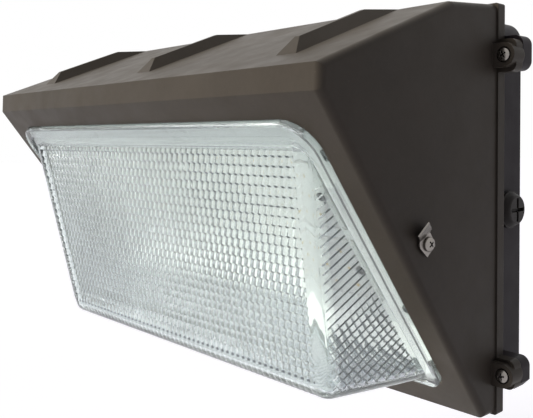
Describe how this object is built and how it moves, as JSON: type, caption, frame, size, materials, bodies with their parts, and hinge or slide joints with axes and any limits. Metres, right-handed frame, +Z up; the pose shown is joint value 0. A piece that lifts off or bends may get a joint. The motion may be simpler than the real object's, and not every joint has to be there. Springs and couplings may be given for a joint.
{
  "type": "wall_pack_light",
  "caption": "Wedge-shaped outdoor wall light: shallow rear box, hinged ribbed front housing, prismatic glass, white reflector, LED boards, driver, captive door screws",
  "frame": {"origin": "centre of the rear box's wall face, at the middle of the four wall bolt holes", "axes": "+X to the light's right-hand side as seen by someone facing it, +Y into the wall, +Z up"},
  "size_m": [0.3892, 0.1765, 0.236],
  "materials": {
    "bronze_paint": "dark bronze powder coat over cast aluminium",
    "prismatic_glass": "pressed prismatic borosilicate glass",
    "silicone": "matt grey silicone",
    "dark_plug": "dark bronze powder coat over cast metal",
    "bright_plate": "bright nickel plate",
    "stainless": "plain stainless steel",
    "green_screw": "green passivated steel",
    "white_enamel": "glossy white enamel on aluminium sheet",
    "bare_aluminium": "plain rolled aluminium",
    "board_white": "white solder mask",
    "led_phosphor": "yellow phosphor under clear silicone",
    "black_plastic": "moulded black nylon"
  },
  "bodies": {
    "wall_box": {"rear_housing": "bronze_paint", "door_gasket": "silicone", "conduit_plug_right": "dark_plug", "conduit_plug_left": "dark_plug", "conduit_plug_seals": "silicone", "ground_screw": "green_screw", "hinge_pins": "stainless", "hinge_pin_rings": "stainless"},
    "front_door": {"front_housing": "bronze_paint", "glass_refractor": "prismatic_glass", "glass_gasket": "silicone", "glass_clips": "stainless", "glass_clip_screws": "stainless", "reflector": "white_enamel", "reflector_screws": "stainless", "led_plate": "bare_aluminium", "led_plate_screws": "stainless", "led_board_upper": "board_white", "led_board_lower": "board_white", "leds_upper": "led_phosphor", "leds_lower": "led_phosphor", "led_board_screws": "stainless", "driver_base": "bare_aluminium", "driver_case": "bare_aluminium", "driver_end_caps": "black_plastic", "driver_screws": "stainless", "side_clip": "bright_plate", "side_clip_screw": "bright_plate"},
    "upper_door_screw": {"door_screw_upper": "bright_plate"},
    "lower_door_screw": {"door_screw_lower": "bright_plate"}
  },
  "joints": [
    {"name": "door_hinge", "type": "hinge", "parent": "wall_box", "child": "front_door", "pos_m": [-0.1886, -0.031, 0], "axis": [0, 0, -1], "range_deg": [0, 100]},
    {"name": "upper_screw_travel", "type": "slide", "parent": "front_door", "child": "upper_door_screw", "axis": [0, -1, 0], "range_m": [0, 0.0075]},
    {"name": "lower_screw_travel", "type": "slide", "parent": "front_door", "child": "lower_door_screw", "axis": [0, -1, 0], "range_m": [0, 0.0075]}
  ]
}
